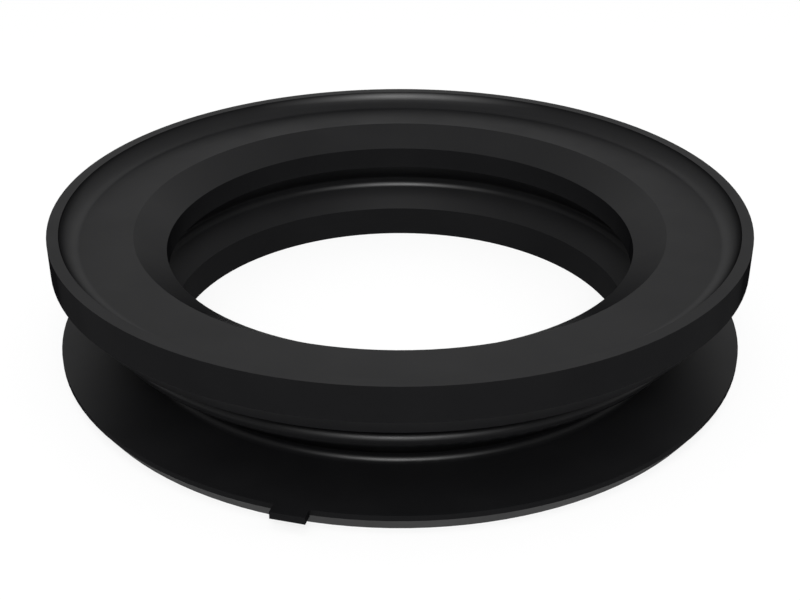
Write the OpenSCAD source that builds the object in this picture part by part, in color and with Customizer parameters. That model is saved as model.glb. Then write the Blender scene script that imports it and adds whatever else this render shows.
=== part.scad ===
// Track seal: one moulded ring that sits round the pin of a crawler track joint.
// A thick head with a raised sealing rim stands on a waisted web and a flat foot flange.
// The whole ring is one solid. Origin on the bottom face at the ring's axis, +Z up.

/* [Overall] */
// outer diameter, shared by the head and the foot flange
outer_d = 90; // [79:0.5:105]
// inner diameter, shared by the head bore and the foot bore
bore_d = 61; // [40:0.5:70]

/* [Bore side, from the bottom up] */
// height of the foot bore
foot_bore_h = 4.3; // [2:0.05:5.5]
// height of the groove's mouth between the two bores
groove_h = 7; // [5:0.05:8.5]
// height of the head bore
head_bore_h = 3.05; // [1.5:0.05:5]
// height of the chamfer at the bore's mouth
mouth_h = 2.55; // [1:0.05:4.5]
// width of the chamfer at the bore's mouth
mouth_w = 4; // [1:0.05:6]
// slope of the groove's upper flank, from level
groove_top_a = 44; // [38:0.5:55]
// slope of the groove's lower flank, from level
groove_low_a = 41.5; // [32:0.5:50]
// radius at the root of the groove
groove_r = 1.25; // [0.8:0.05:2.2]

/* [Sealing rim] */
// height of the rim's land above the flat top
rim_h = 1.95; // [1:0.05:4]
// width of the rim's land
rim_land_w = 1.45; // [0.8:0.05:3]
// radius of the hollow that rises from the flat top to the rim's land
rim_hollow_r = 2.4; // [2:0.05:4]

/* [Head] */
// height of the head's upright side
head_side_h = 4.35; // [2:0.05:6]
// width of the chamfer under the head's side
head_chamfer_w = 2; // [0.8:0.05:4]
// height of the chamfer under the head's side
head_chamfer_h = 2.55; // [0.8:0.05:4]
// slope of the head's underside, from level
head_under_a = 15; // [10:1:25]

/* [Waist] */
// diameter across the shoulder under the head
shoulder_d = 80.4; // [72:0.1:90]
// height of the shoulder's widest place
shoulder_z = 8.7; // [7.5:0.05:9.5]
// radius of the shoulder
shoulder_r = 1; // [0.8:0.05:1.8]
// radius of the notch between the shoulder and the head
notch_r = 0.5; // [0.3:0.05:0.8]
// diameter of the waist at its narrowest place
waist_d = 70.1; // [64:0.1:80]
// radius at the root of the waist
waist_r = 0.8; // [0.5:0.05:2]

/* [Foot flange] */
// height of the foot flange's upright edge
foot_edge_h = 0.7; // [0.4:0.05:2]
// width of the chamfer under the foot flange's edge
foot_chamfer_w = 1.35; // [0.5:0.05:3]
// height of the chamfer under the foot flange's edge
foot_chamfer_h = 2; // [0.8:0.05:4]

/* [Tab] */
// width of the tab on the foot flange's edge
tab_w = 4.05; // [2:0.05:8]
// how far the tab stands out of the edge
tab_l = 1.4; // [0.5:0.05:3]
// thickness of the tab, down from the flange's upper face
tab_t = 0.9; // [0.5:0.05:1.2]
// direction of the tab round the ring
tab_turn = -105; // [-180:1:180]

/* [Hidden] */
$fn = 240;
outer_r = outer_d / 2;
bore_r = bore_d / 2;

// heights, each stacked on the one below
groove_z0 = foot_bore_h;
groove_z1 = groove_z0 + groove_h;
mouth_z0 = groove_z1 + head_bore_h;
flat_z = mouth_z0 + mouth_h;
rim_z = flat_z + rim_h;
foot_z = foot_chamfer_h + foot_edge_h;
side_z0 = rim_z - head_side_h;
under_z = side_z0 - head_chamfer_h;

// bore groove: a V whose flanks meet the root radius where they touch it
groove_tip = groove_h / (tan(groove_top_a) + tan(groove_low_a));
groove_tip_z = groove_z0 + groove_tip * tan(groove_low_a);
groove_half = (180 - groove_top_a - groove_low_a) / 2;
groove_back = groove_r / sin(groove_half);
groove_dir = (groove_top_a - groove_low_a) / 2;
groove_c = [bore_r + groove_tip - groove_back * cos(groove_dir),
            groove_tip_z + groove_back * sin(groove_dir)];
groove_p1 = groove_c + groove_r * [sin(groove_top_a), cos(groove_top_a)];
groove_p0 = groove_c + groove_r * [sin(groove_low_a), -cos(groove_low_a)];

// rim hollow: a round that touches the flat top and ends at the land's inner edge,
// with an upright wall above it where the rim is higher than the round
rim_in_r = outer_r - rim_land_w;
hollow_h = min(rim_h, rim_hollow_r);
hollow_w = sqrt(hollow_h * (2 * rim_hollow_r - hollow_h));
hollow_c = [rim_in_r - hollow_w, flat_z + rim_hollow_r];
hollow_foot = [hollow_c[0], flat_z];
hollow_top = [rim_in_r, flat_z + hollow_h];
rim_wall = rim_h > hollow_h ? [hollow_top] : [];

// waist root: touches the flange's upper face
waist_c = [waist_d / 2 + waist_r, foot_z + waist_r];
shoulder_c = [shoulder_d / 2 - shoulder_r, shoulder_z];
// the cone between shoulder and root touches both circles
web_v = shoulder_c - waist_c;
web_a = atan2(web_v[1], web_v[0]) - acos(-(shoulder_r + waist_r) / norm(web_v));
web_n = [cos(web_a), sin(web_a)];
web_p1 = shoulder_c + shoulder_r * web_n;
web_p0 = waist_c - waist_r * web_n;

// notch: its round touches the head's underside and the shoulder;
// its centre runs in along the underside until it meets the shoulder's round,
// or the level top of the shoulder where that round lies farther out
under_p = [outer_r - head_chamfer_w, under_z];
under_u = [cos(head_under_a), sin(head_under_a)];
under_n = [sin(head_under_a), -cos(head_under_a)];
notch_q = under_p + notch_r * under_n;
shoulder_top = [shoulder_c[0], shoulder_z + shoulder_r];
notch_level = shoulder_top[1] + notch_r;
notch_level_r = notch_q[0] - (notch_q[1] - notch_level) / tan(head_under_a);
notch_on_top = notch_level_r < shoulder_c[0];
notch_v = notch_q - shoulder_c;
notch_b = notch_v * under_u;
notch_s = sqrt(notch_b * notch_b - notch_v * notch_v
               + pow(shoulder_r + notch_r, 2)) - notch_b;
notch_c = notch_on_top ? [notch_level_r, notch_level] : notch_q + notch_s * under_u;
notch_out = notch_on_top ? [0, 1] : (notch_c - shoulder_c) / norm(notch_c - shoulder_c);
notch_p0 = notch_c - notch_r * notch_out;
notch_p1 = notch_c - notch_r * under_n;
shoulder_land = notch_on_top ? [shoulder_top] : [];

// how far the tab runs into the flange, past the chamfer under its edge
tab_root = foot_chamfer_w + tab_l;

// straight-sided outline of the half section, before the round places are put in
module outline() {
    polygon([
        [bore_r, 0],
        [outer_r - foot_chamfer_w, 0],
        [outer_r, foot_chamfer_h],
        [outer_r, foot_z],
        [waist_c[0], foot_z],
        web_p0,
        web_p1,
        each shoulder_land,
        notch_p0,
        notch_p1,
        under_p,
        [outer_r, side_z0],
        [outer_r, rim_z],
        [rim_in_r, rim_z],
        each rim_wall,
        hollow_foot,
        [bore_r + mouth_w, flat_z],
        [bore_r, mouth_z0],
        [bore_r, groove_z1],
        groove_p1,
        groove_p0,
        [bore_r, groove_z0]
    ]);
}

module round_at(p, r) {
    translate(p)
        circle(r = r);
}

// the finished half section
module section() {
    difference() {
        union() {
            outline();
            round_at(shoulder_c, shoulder_r);
        }
        round_at(waist_c, waist_r);
        round_at(notch_c, notch_r);
        round_at(groove_c, groove_r);
        rim_hollow();
    }
}

// the part of the hollow's circle that lies below the land's inner edge
module rim_hollow() {
    intersection() {
        round_at(hollow_c, rim_hollow_r);
        polygon([
            hollow_top,
            [outer_r, hollow_top[1]],
            [outer_r, flat_z],
            hollow_foot
        ]);
    }
}

// small flat tab that stands out of the foot flange's edge
module tab() {
    rotate([0, 0, tab_turn])
        translate([outer_r - tab_root, -tab_w / 2, foot_z - tab_t])
            cube([tab_root + tab_l, tab_w, tab_t]);
}

module seal_ring() {
    color([0.09, 0.09, 0.095])
        union() {
            rotate_extrude()
                section();
            tab();
        }
}

seal_ring();
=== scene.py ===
"""Looks of a track seal: a black moulded rubber ring on a plain pale studio floor.

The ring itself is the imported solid. This script dresses it in a moulded rubber finish, lays the
floor, hangs the studio lights and sets the camera where the photograph was taken from.
"""

import logging
import math
from dataclasses import dataclass, field
from enum import Enum
from typing import Any, Dict, List, Optional, Tuple

import bpy
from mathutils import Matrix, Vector

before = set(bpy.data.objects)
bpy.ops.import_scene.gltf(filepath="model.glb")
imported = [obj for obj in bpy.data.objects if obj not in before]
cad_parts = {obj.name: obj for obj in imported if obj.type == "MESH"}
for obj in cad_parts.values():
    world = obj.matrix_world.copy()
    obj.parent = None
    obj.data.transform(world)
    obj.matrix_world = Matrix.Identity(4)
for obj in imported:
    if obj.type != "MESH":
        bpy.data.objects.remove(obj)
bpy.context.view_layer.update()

LOG = logging.getLogger("track_seal")
MM = 0.001
# a wave texture at scale 1 turns by this many radians over one unit
WAVE_TURN = 20.0

Steps = Tuple[Tuple[float, float], ...]


class Sky(Enum):
    """Heights above the horizon at which the studio's surroundings are set, as the sine of the angle."""

    HORIZON = -0.05
    WALL = 0.30
    CANOPY_EDGE = 0.46
    CANOPY = 0.56
    TOP = 1.0


def linear(hex_code: str) -> Tuple[float, float, float, float]:
    """Turns an sRGB hex colour into the linear colour that shaders work in.

    Args:
        hex_code: Six hex digits, with or without a leading hash.

    Returns:
        Red, green, blue and full alpha, linear.
    """
    digits = hex_code.lstrip("#")
    steps = [int(digits[i:i + 2], 16) / 255 for i in (0, 2, 4)]
    parts = [s / 12.92 if s <= 0.04045 else ((s + 0.055) / 1.055) ** 2.4 for s in steps]
    return parts[0], parts[1], parts[2], 1.0


def add(tree: bpy.types.NodeTree, kind: str, inputs: Optional[Dict[Any, Any]] = None,
        **settings: Any) -> bpy.types.Node:
    """Adds a node with its settings and links.

    Args:
        tree: The node tree that gets the node.
        kind: Blender's type name of the node.
        inputs: Socket name or number to a plain value, or to an output socket to link from.
        **settings: Attributes of the node itself.

    Returns:
        The new node.
    """
    node = tree.nodes.new(kind)
    for name, value in settings.items():
        setattr(node, name, value)
    for key, value in (inputs or {}).items():
        if isinstance(value, bpy.types.NodeSocket):
            tree.links.new(value, node.inputs[key])
        else:
            node.inputs[key].default_value = value
    return node


def fresh_tree(owner: Any) -> bpy.types.NodeTree:
    """Gives a material or world an empty node tree.

    Args:
        owner: The material or world.

    Returns:
        Its node tree, with nothing in it.
    """
    owner.use_nodes = True
    owner.node_tree.nodes.clear()
    return owner.node_tree


def seen_directly(tree: bpy.types.NodeTree) -> bpy.types.NodeSocket:
    """Builds a mask that is 1 for what the camera sees, also in a reflection or through glass.

    Args:
        tree: The node tree to build it in.

    Returns:
        The mask's output socket.
    """
    path = add(tree, "ShaderNodeLightPath")
    first = add(tree, "ShaderNodeMath", {0: path.outputs["Is Camera Ray"], 1: path.outputs["Is Glossy Ray"]},
                operation="MAXIMUM")
    both = add(tree, "ShaderNodeMath", {0: first.outputs[0], 1: path.outputs["Is Transmission Ray"]},
               operation="MAXIMUM")
    return both.outputs[0]


def ramp_of(tree: bpy.types.NodeTree, value: bpy.types.NodeSocket,
            steps: Steps) -> bpy.types.NodeSocket:
    """Builds a curve of straight pieces from 0 to 1.

    Args:
        tree: The node tree to build it in.
        value: What the curve is read at.
        steps: Place and grey of each step, from low to high.

    Returns:
        The curve's output socket.
    """
    ramp = add(tree, "ShaderNodeValToRGB", {"Fac": value})
    stops = ramp.color_ramp.elements
    while len(stops) < len(steps):
        stops.new(0.5)
    for stop, (place, grey) in zip(stops, steps):
        stop.position = place
        stop.color = (grey, grey, grey, 1)
    return ramp.outputs["Color"]


@dataclass(frozen=True)
class AxisPlace:
    """Where a point of the surface lies about the ring's axis, as sockets of a node tree."""

    out: bpy.types.NodeSocket
    reach: bpy.types.NodeSocket
    height: bpy.types.NodeSocket

    @classmethod
    def of(cls, tree: bpy.types.NodeTree, place: bpy.types.NodeSocket) -> "AxisPlace":
        """Splits a point into its direction from the axis, its distance from it and its height.

        Args:
            tree: The node tree to build it in.
            place: The point, in the ring's own frame.

        Returns:
            The three sockets.
        """
        split = add(tree, "ShaderNodeSeparateXYZ", {0: place})
        level = add(tree, "ShaderNodeCombineXYZ", {"X": split.outputs["X"], "Y": split.outputs["Y"]})
        out = add(tree, "ShaderNodeVectorMath", {0: level.outputs[0]}, operation="NORMALIZE")
        reach = add(tree, "ShaderNodeVectorMath", {0: level.outputs[0]}, operation="LENGTH")
        return cls(out.outputs["Vector"], reach.outputs["Value"], split.outputs["Z"])


@dataclass(frozen=True)
class MouldRadius:
    """One round of the mould's turned section.

    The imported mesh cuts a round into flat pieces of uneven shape. Shading the place by the round itself
    lets a highlight run evenly along the ring. Sizes are in millimetres, angles in degrees from level.
    """

    name: str
    ring_mm: float
    height_mm: float
    radius_mm: float
    middle: float
    half: float
    hollow: bool
    reach_mm: float = 0.12

    def shade(self, tree: bpy.types.NodeTree, at: AxisPlace,
              base: bpy.types.NodeSocket) -> bpy.types.NodeSocket:
        """Puts the round's own normal in place of the mesh's where the round lies.

        Args:
            tree: The node tree to build it in.
            at: The place about the axis.
            base: The normal that holds elsewhere.

        Returns:
            The socket of the new normal.
        """
        turn, half = math.radians(self.middle), math.radians(self.half)
        across = add(tree, "ShaderNodeMath", {0: at.reach, 1: self.ring_mm * MM},
                     operation="SUBTRACT").outputs[0]
        up = add(tree, "ShaderNodeMath", {0: at.height, 1: self.height_mm * MM},
                 operation="SUBTRACT").outputs[0]
        level = add(tree, "ShaderNodeVectorMath", {0: at.out, "Scale": across}, operation="SCALE").outputs[0]
        rise = add(tree, "ShaderNodeCombineXYZ", {"Z": up}).outputs[0]
        arm = add(tree, "ShaderNodeVectorMath", {0: level, 1: rise}, operation="ADD").outputs[0]
        far = add(tree, "ShaderNodeVectorMath", {0: arm}, operation="LENGTH").outputs["Value"]
        near = add(tree, "ShaderNodeMath", {0: far, 1: self.radius_mm * MM, 2: self.reach_mm * MM},
                   operation="COMPARE").outputs[0]
        along = add(tree, "ShaderNodeMath", {0: across, 1: math.cos(turn)}, operation="MULTIPLY").outputs[0]
        along = add(tree, "ShaderNodeMath", {0: up, 1: math.sin(turn), 2: along},
                    operation="MULTIPLY_ADD").outputs[0]
        limit = add(tree, "ShaderNodeMath", {0: far, 1: math.cos(half)}, operation="MULTIPLY").outputs[0]
        within = add(tree, "ShaderNodeMath", {0: along, 1: limit}, operation="GREATER_THAN").outputs[0]
        here = add(tree, "ShaderNodeMath", {0: near, 1: within}, operation="MULTIPLY").outputs[0]
        facing = add(tree, "ShaderNodeVectorMath", {0: arm, "Scale": -1.0 if self.hollow else 1.0},
                     operation="SCALE").outputs[0]
        world = add(tree, "ShaderNodeVectorTransform", {0: facing}, vector_type="NORMAL",
                    convert_from="OBJECT", convert_to="WORLD").outputs[0]
        mixed = add(tree, "ShaderNodeMix", {0: here, 4: base, 5: world}, data_type="VECTOR", label=self.name)
        return mixed.outputs[1]


@dataclass(frozen=True)
class MouldedRubber:
    """Nitrile rubber, compression moulded in a turned steel mould.

    Carbon black makes it almost black all through. The mould's fine turned and blasted skin leaves a
    satin surface with a soft, wide highlight, and the rubber shows faint cloudy bloom.
    """

    name: str = "nitrile_rubber_moulded"
    body_hex: str = "#0b0b0c"
    bloom_hex: str = "#111112"
    bloom_mm: float = 9.0
    # painted light: a lighter grey for the chamfer under the head, standing in for light thrown up from the
    # floor
    bounce_painted_hex: str = "#19191a"
    bounce_painted_mm: Tuple[float, float] = (11.95, 14.5)
    bounce_painted_from_mm: float = 42.9
    ior: float = 1.5
    face_gloss: Steps = (
        (0.0, 0.46), (0.03, 0.3), (0.08, 0.12), (0.3, 0.13), (0.48, 0.135), (0.55, 0.1), (0.64, 0.08),
        (0.8, 0.035), (0.92, 0.003))
    wall_gloss: Steps = (
        (0.0, 0.05), (0.15, 0.045), (0.3, 0.025), (0.5, 0.01), (0.7, 0.002), (0.85, 0.0))
    wall_slope: Tuple[float, float] = (0.12, 0.34)
    roughness: float = 0.44
    roughness_play: float = 0.04
    bloom_range: Tuple[float, float] = (0.3, 0.7)
    grain_mm: float = 0.28
    grain_height_mm: float = 0.0012
    turning_mm: float = 1.38
    turning_height_mm: float = 0.0004
    polish_mm: Tuple[float, float, float, float] = (41.15, 41.5, 41.8, 43.2)
    polish_from_mm: float = 16.85
    polish_facing: Tuple[float, float] = (0.46, 0.56)
    polish_lift: float = 0.45
    rounds: Tuple[MouldRadius, ...] = (
        MouldRadius("waist root", 35.85, 3.5, 0.8, 200.0, 70.5, True),
        MouldRadius("shoulder", 39.2, 8.7, 1.0, 20.25, 69.75, False),
        MouldRadius("groove root", 32.583, 7.682, 1.25, -1.25, 47.25, True),
        MouldRadius("rim hollow", 41.193, 19.3, 2.4, -50.4, 39.6, True),
    )

    def tint(self, tree: bpy.types.NodeTree, at: AxisPlace,
             bloom: bpy.types.NodeSocket) -> bpy.types.NodeSocket:
        """Colours the rubber.

        Args:
            tree: The node tree to build it in.
            at: The place about the axis.
            bloom: The clouds of bloom.

        Returns:
            The colour's socket.
        """
        clouds = add(tree, "ShaderNodeMix", {0: bloom, 6: linear(self.body_hex), 7: linear(self.bloom_hex)},
                     data_type="RGBA").outputs[2]

        # painted light: the chamfer under the head is painted a little greyer, standing in for the light that
        # the floor throws up onto it
        low, high = (edge * MM for edge in self.bounce_painted_mm)
        over = add(tree, "ShaderNodeMath", {0: at.height, 1: low}, operation="GREATER_THAN").outputs[0]
        under = add(tree, "ShaderNodeMath", {0: at.height, 1: high}, operation="LESS_THAN").outputs[0]
        outer = add(tree, "ShaderNodeMath", {0: at.reach, 1: self.bounce_painted_from_mm * MM},
                    operation="GREATER_THAN").outputs[0]
        bounce_painted_band = add(tree, "ShaderNodeMath", {0: over, 1: under}, operation="MULTIPLY").outputs[0]
        bounce_painted_band = add(tree, "ShaderNodeMath", {0: bounce_painted_band, 1: outer}, operation="MULTIPLY").outputs[0]
        return add(tree, "ShaderNodeMix", {0: bounce_painted_band, 6: clouds, 7: linear(self.bounce_painted_hex)},
                   data_type="RGBA").outputs[2]

    def relief(self, tree: bpy.types.NodeTree, place: bpy.types.NodeSocket,
               normal: bpy.types.NodeSocket) -> bpy.types.NodeSocket:
        """Lays the mould's fine skin over the surface.

        Args:
            tree: The node tree to build it in.
            place: The point, in the ring's own frame.
            normal: The smooth surface's normal.

        Returns:
            The socket of the normal with the skin on it.
        """
        # grain: the blasted skin of the mould, drawn about three times as coarse as it is so that it shows
        grain = add(tree, "ShaderNodeTexNoise",
                    {"Vector": place, "Scale": 1 / (self.grain_mm * MM), "Detail": 2.0, "Roughness": 0.5})
        skin = add(tree, "ShaderNodeBump",
                   {"Height": grain.outputs["Fac"], "Distance": self.grain_height_mm * MM, "Strength": 1.0,
                    "Normal": normal})

        # turning marks: rings round the axis from the lathe, drawn several times as wide as they are
        rings = add(tree, "ShaderNodeTexWave",
                    {"Vector": place, "Scale": math.tau / (self.turning_mm * MM) / WAVE_TURN,
                     "Distortion": 0.6, "Detail": 1.0},
                    wave_type="RINGS", rings_direction="Z", wave_profile="SIN")
        turned = add(tree, "ShaderNodeBump",
                     {"Height": rings.outputs["Fac"], "Distance": self.turning_height_mm * MM,
                      "Strength": 1.0, "Normal": skin.outputs["Normal"]})
        return turned.outputs["Normal"]

    def polish(self, tree: bpy.types.NodeTree, at: AxisPlace,
               facing: bpy.types.NodeSocket) -> bpy.types.NodeSocket:
        """Lifts the gloss in a faint ring at the foot of the rim's hollow, as from a smoother insert.

        Args:
            tree: The node tree to build it in.
            at: The place about the axis.
            facing: How far the surface is turned from the eye.

        Returns:
            The socket of the factor on the gloss.
        """
        start, full, slow, end = (edge * MM for edge in self.polish_mm)
        rise = add(tree, "ShaderNodeMapRange", {"Value": at.reach, "From Min": start, "From Max": full})
        fall = add(tree, "ShaderNodeMapRange", {"Value": at.reach, "From Min": end, "From Max": slow})
        flat = add(tree, "ShaderNodeMapRange", {"Value": facing, "From Min": self.polish_facing[0],
                                                "From Max": self.polish_facing[1]})
        top = add(tree, "ShaderNodeMath", {0: at.height, 1: self.polish_from_mm * MM},
                  operation="GREATER_THAN")
        ring = rise.outputs[0]
        for part in (fall, top, flat):
            ring = add(tree, "ShaderNodeMath", {0: ring, 1: part.outputs[0]}, operation="MULTIPLY").outputs[0]
        return add(tree, "ShaderNodeMath", {0: ring, 1: self.polish_lift, 2: 1.0},
                   operation="MULTIPLY_ADD").outputs[0]

    def gloss(self, tree: bpy.types.NodeTree, at: AxisPlace,
              normal: bpy.types.NodeSocket) -> bpy.types.NodeSocket:
        """Sets how much the rubber mirrors.

        Args:
            tree: The node tree to build it in.
            at: The place about the axis.
            normal: The smooth surface's normal.

        Returns:
            The gloss level's socket.
        """
        # the blasted skin shades itself at flat angles, so the rubber stays black there
        facing = add(tree, "ShaderNodeLayerWeight", {"Blend": 0.5, "Normal": normal}).outputs["Facing"]
        face = ramp_of(tree, facing, self.face_gloss)
        wall = ramp_of(tree, facing, self.wall_gloss)

        # upright walls: more matt, as where a moulding rubs along its mould when it is pulled out
        tilt = add(tree, "ShaderNodeSeparateXYZ", {0: normal}).outputs["Z"]
        slope = add(tree, "ShaderNodeMath", {0: tilt}, operation="ABSOLUTE").outputs[0]
        upright = add(tree, "ShaderNodeMapRange", {"Value": slope, "From Min": self.wall_slope[1],
                                                   "From Max": self.wall_slope[0]}).outputs[0]
        both = add(tree, "ShaderNodeMix", {0: upright, 2: face, 3: wall}).outputs[0]
        return add(tree, "ShaderNodeMath", {0: both, 1: self.polish(tree, at, facing)},
                   operation="MULTIPLY").outputs[0]

    def material(self) -> bpy.types.Material:
        """Builds the finish.

        Returns:
            The material.
        """
        made = bpy.data.materials.new(self.name)
        tree = fresh_tree(made)
        place = add(tree, "ShaderNodeTexCoord").outputs["Object"]
        at = AxisPlace.of(tree, place)
        normal = add(tree, "ShaderNodeNewGeometry").outputs["Normal"]
        for moulded in self.rounds:
            normal = moulded.shade(tree, at, normal)

        # bloom: wide soft clouds where waxes have come to the surface
        bloom = add(tree, "ShaderNodeTexNoise",
                    {"Vector": place, "Scale": 1 / (self.bloom_mm * MM), "Detail": 3.0,
                     "Roughness": 0.55}).outputs["Fac"]
        satin = add(tree, "ShaderNodeMapRange",
                    {"Value": bloom, "From Min": self.bloom_range[0], "From Max": self.bloom_range[1],
                     "To Min": self.roughness - self.roughness_play,
                     "To Max": self.roughness + self.roughness_play})
        shader = add(tree, "ShaderNodeBsdfPrincipled",
                     {"Base Color": self.tint(tree, at, bloom), "Roughness": satin.outputs["Result"],
                      "IOR": self.ior, "Specular IOR Level": self.gloss(tree, at, normal),
                      "Normal": self.relief(tree, place, normal)})
        add(tree, "ShaderNodeOutputMaterial", {"Surface": shader.outputs[0]})
        return made


@dataclass(frozen=True)
class PaleFloor:
    """Matt painted studio board, white to the eye, with a faint shadow where the ring stands."""

    name: str = "studio_board_matt_white"
    board_hex: str = "#e2e2e2"
    own_white: float = 0.8

    def material(self) -> bpy.types.Material:
        """Builds the finish.

        Returns:
            The material.
        """
        made = bpy.data.materials.new(self.name)
        tree = fresh_tree(made)
        board = add(tree, "ShaderNodeBsdfDiffuse", {"Color": linear(self.board_hex)})
        white = add(tree, "ShaderNodeEmission", {"Color": (1, 1, 1, 1), "Strength": 1.0})
        share = add(tree, "ShaderNodeMath", {0: seen_directly(tree), 1: self.own_white}, operation="MULTIPLY")
        both = add(tree, "ShaderNodeMixShader",
                   {0: share.outputs[0], 1: board.outputs[0], 2: white.outputs[0]})
        add(tree, "ShaderNodeOutputMaterial", {"Surface": both.outputs[0]})
        return made


@dataclass
class SealRing:
    """The one moulded piece of the seal: head, rim, grooved bore, waist, foot flange and tab."""

    node: str = "seal_ring"
    finish: MouldedRubber = field(default_factory=MouldedRubber)

    def build(self) -> bpy.types.Object:
        """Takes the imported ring, whose shape is right as it is.

        Returns:
            The ring's object.
        """
        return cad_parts[self.node]

    def dress(self, ring: bpy.types.Object) -> None:
        """Gives the ring its rubber.

        Args:
            ring: The ring's object.
        """
        ring.data.materials.clear()
        ring.data.materials.append(self.finish.material())
        LOG.info("%s dressed in %s", ring.name, self.finish.name)


@dataclass(frozen=True)
class Light:
    """One soft studio light, placed round the ring and turned to it.

    Azimuth 0 is on the camera's side and 90 on the right. Sizes and distance are in millimetres.
    """

    name: str
    azimuth: float
    elevation: float
    distance_mm: float
    width_mm: float
    height_mm: float
    watts: float

    def hang(self, aim: Vector) -> bpy.types.Object:
        """Makes the light.

        Args:
            aim: The point that it is turned to.

        Returns:
            The light's object.
        """
        data = bpy.data.lights.new(self.name, "AREA")
        data.shape = "RECTANGLE"
        data.size = self.width_mm * MM
        data.size_y = self.height_mm * MM
        data.energy = self.watts
        light = bpy.data.objects.new(self.name, data)
        bpy.context.scene.collection.objects.link(light)
        a, e = math.radians(self.azimuth), math.radians(self.elevation)
        out = Vector((math.sin(a) * math.cos(e), -math.cos(a) * math.cos(e), math.sin(e)))
        light.location = aim + out * self.distance_mm * MM
        light.rotation_euler = (-out).to_track_quat("-Z", "Y").to_euler()
        return light


@dataclass
class Studio:
    """Floor, surroundings and lights round the ring."""

    floor_mm: float = 6000.0
    floor_drop_mm: float = 0.02
    aim_mm: Tuple[float, float, float] = (0.0, 0.0, 9.4)
    finish: PaleFloor = field(default_factory=PaleFloor)
    sky_strength: float = 2.0
    sky: Dict[Sky, float] = field(default_factory=lambda: {
        Sky.HORIZON: 0.35, Sky.WALL: 0.72, Sky.CANOPY_EDGE: 0.8, Sky.CANOPY: 0.95, Sky.TOP: 0.8})
    lights: List[Light] = field(default_factory=lambda: [
        Light("front_panel", 0, 40, 900, 280, 280, 6.5),
        Light("upper_panel", 0, 68, 900, 380, 340, 1.6),
        Light("back_panel", 180, 25, 900, 260, 260, 0.08),
    ])

    def build(self) -> bpy.types.Object:
        """Lays the floor and hangs the lights.

        Returns:
            The floor's object.
        """
        half = self.floor_mm * MM / 2
        drop = -self.floor_drop_mm * MM
        mesh = bpy.data.meshes.new("studio_floor")
        mesh.from_pydata([(-half, -half, drop), (half, -half, drop), (half, half, drop), (-half, half, drop)],
                         [], [(0, 1, 2, 3)])
        floor = bpy.data.objects.new("studio_floor", mesh)
        bpy.context.scene.collection.objects.link(floor)
        aim = Vector(self.aim_mm) * MM
        for light in self.lights:
            light.hang(aim)
            LOG.info("light %s hung", light.name)
        return floor

    def dress(self, floor: bpy.types.Object) -> None:
        """Paints the floor and sets the surroundings.

        Args:
            floor: The floor's object.
        """
        floor.data.materials.append(self.finish.material())
        world = bpy.data.worlds.new("studio_surroundings")
        bpy.context.scene.world = world
        tree = fresh_tree(world)
        up = add(tree, "ShaderNodeSeparateXYZ", {0: add(tree, "ShaderNodeTexCoord").outputs["Generated"]})
        low, high = Sky.HORIZON.value, Sky.TOP.value
        level = add(tree, "ShaderNodeMapRange", {"Value": up.outputs["Z"], "From Min": low, "From Max": high})
        steps = tuple(((h.value - low) / (high - low), grey / self.sky_strength)
                      for h, grey in self.sky.items())
        ramp = ramp_of(tree, level.outputs["Result"], steps)
        wall = add(tree, "ShaderNodeBackground", {"Color": ramp, "Strength": self.sky_strength})
        add(tree, "ShaderNodeOutputWorld", {"Surface": wall.outputs[0]})


@dataclass
class PhotoCamera:
    """The camera at the photograph's place, fitted to the ring's circles in it."""

    distance_mm: float = 175.48
    elevation: float = 28.355
    aim_height_mm: float = 4.428
    lens_mm: float = 58.055
    sensor_mm: float = 36.0

    def build(self) -> bpy.types.Object:
        """Makes the camera.

        Returns:
            The camera's object.
        """
        data = bpy.data.cameras.new("photo_camera")
        data.sensor_width = self.sensor_mm
        data.lens = self.lens_mm
        data.clip_start, data.clip_end = 1 * MM, 100.0
        camera = bpy.data.objects.new("photo_camera", data)
        bpy.context.scene.collection.objects.link(camera)
        e = math.radians(self.elevation)
        back = Vector((0.0, -math.cos(e), math.sin(e)))
        camera.location = Vector((0.0, 0.0, self.aim_height_mm * MM)) + back * self.distance_mm * MM
        camera.rotation_euler = (math.pi / 2 - e, 0.0, 0.0)
        bpy.context.scene.camera = camera
        return camera


def main() -> None:
    """Builds and dresses everything in order."""
    logging.basicConfig(level=logging.INFO, format="%(name)s: %(message)s")
    PhotoCamera().build()
    ring = SealRing()
    ring.dress(ring.build())
    studio = Studio()
    studio.dress(studio.build())
    bpy.context.scene.view_settings.view_transform = "Standard"


if __name__ == "__main__":
    main()
